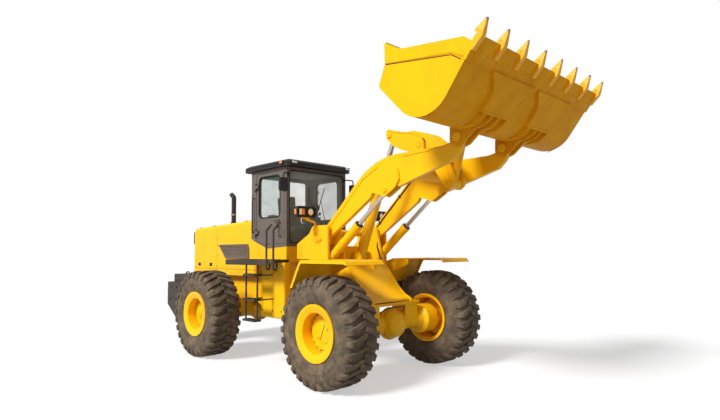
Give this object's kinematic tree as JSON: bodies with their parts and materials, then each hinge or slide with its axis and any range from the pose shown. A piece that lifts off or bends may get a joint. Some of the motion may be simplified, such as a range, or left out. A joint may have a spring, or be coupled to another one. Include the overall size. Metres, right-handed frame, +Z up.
{
  "type": "wheel loader",
  "caption": "Articulated wheel loader with a Z-bar lifting arm, a toothed bucket, a cab with two doors and four lugged wheels.",
  "frame": {"origin": "on the ground, under the middle of the whole machine as it stands in the rest pose", "axes": "+X forward, +Y to the machine's left, +Z up"},
  "size_m": [7.9078, 2.969, 4.2281],
  "materials": {
    "body_yellow": "gloss paint",
    "frame_grey": "satin paint",
    "cab_brown": "satin paint",
    "glass": "tinted clear",
    "rubber": "matte",
    "chrome": "polished",
    "seat_cloth": "matte",
    "plastic_black": "matte"
  },
  "bodies": {
    "rear_frame": {"rear_frame": "body_yellow", "rear_axle": "body_yellow", "counterweight": "frame_grey", "engine_hood": "body_yellow", "radiator_grille": "plastic_black", "engine_block": "frame_grey", "exhaust_stack": "frame_grey", "walkways": "frame_grey", "cab_base": "cab_brown", "cab_rear_wall": "cab_brown", "cab_front_wall": "cab_brown", "cab_side_left": "cab_brown", "cab_side_right": "cab_brown", "cab_roof": "cab_brown", "cab_glass": "glass", "operator_seat": "seat_cloth", "steering_column": "plastic_black", "side_tanks": "body_yellow", "ladders": "frame_grey", "roof_lamps": "plastic_black", "mirrors": "plastic_black", "handrails": "body_yellow", "hood_louvres": "plastic_black", "rear_lamps": "plastic_black", "rear_drive_shaft": "frame_grey"},
    "front_frame": {"front_frame": "body_yellow", "front_towers": "body_yellow", "front_axle": "body_yellow", "front_fenders": "body_yellow", "headlamps": "plastic_black", "front_drive_shaft": "frame_grey"},
    "boom": {"boom": "body_yellow"},
    "bell_crank": {"bell_crank": "body_yellow"},
    "tilt_link": {"tilt_link": "body_yellow"},
    "bucket": {"bucket": "body_yellow", "bucket_teeth": "body_yellow"},
    "tilt_barrel": {"tilt_barrel": "body_yellow"},
    "tilt_rod": {"tilt_rod": "chrome"},
    "cab_door_left": {"cab_door_left": "cab_brown", "door_glass_left": "glass"},
    "cab_door_right": {"cab_door_right": "cab_brown", "door_glass_right": "glass"},
    "lift_barrel_left": {"lift_barrel_left": "body_yellow"},
    "lift_rod_left": {"lift_rod_left": "chrome"},
    "lift_barrel_right": {"lift_barrel_right": "body_yellow"},
    "lift_rod_right": {"lift_rod_right": "chrome"},
    "wheel_front_left": {"tyre_front_left": "rubber", "rim_front_left": "body_yellow"},
    "wheel_front_right": {"tyre_front_right": "rubber", "rim_front_right": "body_yellow"},
    "wheel_rear_left": {"tyre_rear_left": "rubber", "rim_rear_left": "body_yellow"},
    "wheel_rear_right": {"tyre_rear_right": "rubber", "rim_rear_right": "body_yellow"},
    "steer_barrel_left": {"steer_barrel_left": "body_yellow"},
    "steer_rod_left": {"steer_rod_left": "chrome"},
    "steer_barrel_right": {"steer_barrel_right": "body_yellow"},
    "steer_rod_right": {"steer_rod_right": "chrome"}
  },
  "joints": [
    {"name": "articulation", "type": "hinge", "parent": "rear_frame", "child": "front_frame", "pos_m": [-0.394, 0, 0.95], "axis": [0, 0, 1], "range_deg": [-35, 35]},
    {"name": "boom_lift", "type": "hinge", "parent": "front_frame", "child": "boom", "pos_m": [0.406, 0, 2], "axis": [0, -1, 0], "range_deg": [-61, 24]},
    {"name": "bucket_tilt", "type": "hinge", "parent": "boom", "child": "bucket", "pos_m": [2.971, 0, 3.195], "axis": [0, 1, 0], "range_deg": [-15, 95]},
    {"name": "bell_crank_swing", "type": "hinge", "parent": "boom", "child": "bell_crank", "pos_m": [2.024, 0, 3.316], "axis": [0, -1, 0], "range_deg": [-40, 60]},
    {"name": "tilt_link_swing", "type": "hinge", "parent": "bell_crank", "child": "tilt_link", "pos_m": [2.486, 0, 2.72], "axis": [0, -1, 0], "range_deg": [-80, 40]},
    {"name": "tilt_barrel_swing", "type": "hinge", "parent": "front_frame", "child": "tilt_barrel", "pos_m": [0.686, 0, 1.73], "axis": [0, -1, 0], "range_deg": [-60, 30]},
    {"name": "tilt_rod_slide", "type": "slide", "parent": "tilt_barrel", "child": "tilt_rod", "axis": [0.3846, 0, 0.9231], "range_m": [-0.9, 0.9]},
    {"name": "door_left_swing", "type": "hinge", "parent": "rear_frame", "child": "cab_door_left", "pos_m": [-1.234, 0.691, 2.5], "axis": [0, 0, 1], "range_deg": [0, 110]},
    {"name": "door_right_swing", "type": "hinge", "parent": "rear_frame", "child": "cab_door_right", "pos_m": [-1.234, -0.691, 2.5], "axis": [0, 0, -1], "range_deg": [0, 110]},
    {"name": "lift_barrel_swing_left", "type": "hinge", "parent": "front_frame", "child": "lift_barrel_left", "pos_m": [0.426, 0.525, 1.58], "axis": [0, -1, 0], "range_deg": [-60, 30]},
    {"name": "lift_rod_slide_left", "type": "slide", "parent": "lift_barrel_left", "child": "lift_rod_left", "axis": [0.7763, 0, 0.6304], "range_m": [-0.6, 0.3]},
    {"name": "lift_barrel_swing_right", "type": "hinge", "parent": "front_frame", "child": "lift_barrel_right", "pos_m": [0.426, -0.525, 1.58], "axis": [0, -1, 0], "range_deg": [-60, 30]},
    {"name": "lift_rod_slide_right", "type": "slide", "parent": "lift_barrel_right", "child": "lift_rod_right", "axis": [0.7763, 0, 0.6304], "range_m": [-0.6, 0.3]},
    {"name": "wheel_front_left_spin", "type": "hinge", "parent": "front_frame", "child": "wheel_front_left", "pos_m": [1.231, 1.165, 0.748], "axis": [0, 1, 0], "continuous": true},
    {"name": "wheel_front_right_spin", "type": "hinge", "parent": "front_frame", "child": "wheel_front_right", "pos_m": [1.231, -1.165, 0.748], "axis": [0, 1, 0], "continuous": true},
    {"name": "wheel_rear_left_spin", "type": "hinge", "parent": "rear_frame", "child": "wheel_rear_left", "pos_m": [-2.019, 1.165, 0.748], "axis": [0, 1, 0], "continuous": true},
    {"name": "wheel_rear_right_spin", "type": "hinge", "parent": "rear_frame", "child": "wheel_rear_right", "pos_m": [-2.019, -1.165, 0.748], "axis": [0, 1, 0], "continuous": true},
    {"name": "steer_barrel_swing_left", "type": "hinge", "parent": "rear_frame", "child": "steer_barrel_left", "pos_m": [-1.244, 0.235, 0.925], "axis": [0, 0, 1], "range_deg": [-20, 20]},
    {"name": "steer_rod_slide_left", "type": "slide", "parent": "steer_barrel_left", "child": "steer_rod_left", "axis": [0.9995, 0.0316, 0], "range_m": [-0.3, 0.3]},
    {"name": "steer_barrel_swing_right", "type": "hinge", "parent": "rear_frame", "child": "steer_barrel_right", "pos_m": [-1.244, -0.235, 0.925], "axis": [0, 0, 1], "range_deg": [-20, 20]},
    {"name": "steer_rod_slide_right", "type": "slide", "parent": "steer_barrel_right", "child": "steer_rod_right", "axis": [0.9995, -0.0316, 0], "range_m": [-0.3, 0.3]}
  ],
  "couplings": [
    {"joint": "bell_crank_swing", "follows": "bucket_tilt", "ratio": 0.2925},
    {"joint": "tilt_link_swing", "follows": "bucket_tilt", "ratio": -0.5325},
    {"joint": "tilt_barrel_swing", "follows": "boom_lift", "ratio": 0.87402},
    {"joint": "tilt_rod_slide", "follows": "boom_lift", "m_per_rad": 0.30679},
    {"joint": "lift_barrel_swing_left", "follows": "boom_lift", "ratio": 0.91655},
    {"joint": "lift_rod_slide_left", "follows": "boom_lift", "m_per_rad": 0.37392},
    {"joint": "lift_barrel_swing_right", "follows": "boom_lift", "ratio": 0.91655},
    {"joint": "lift_rod_slide_right", "follows": "boom_lift", "m_per_rad": 0.37392},
    {"joint": "steer_barrel_swing_left", "follows": "articulation", "ratio": 0.11104},
    {"joint": "steer_rod_slide_left", "follows": "articulation", "m_per_rad": -0.25427},
    {"joint": "steer_barrel_swing_right", "follows": "articulation", "ratio": 0.11104},
    {"joint": "steer_rod_slide_right", "follows": "articulation", "m_per_rad": 0.25427}
  ]
}
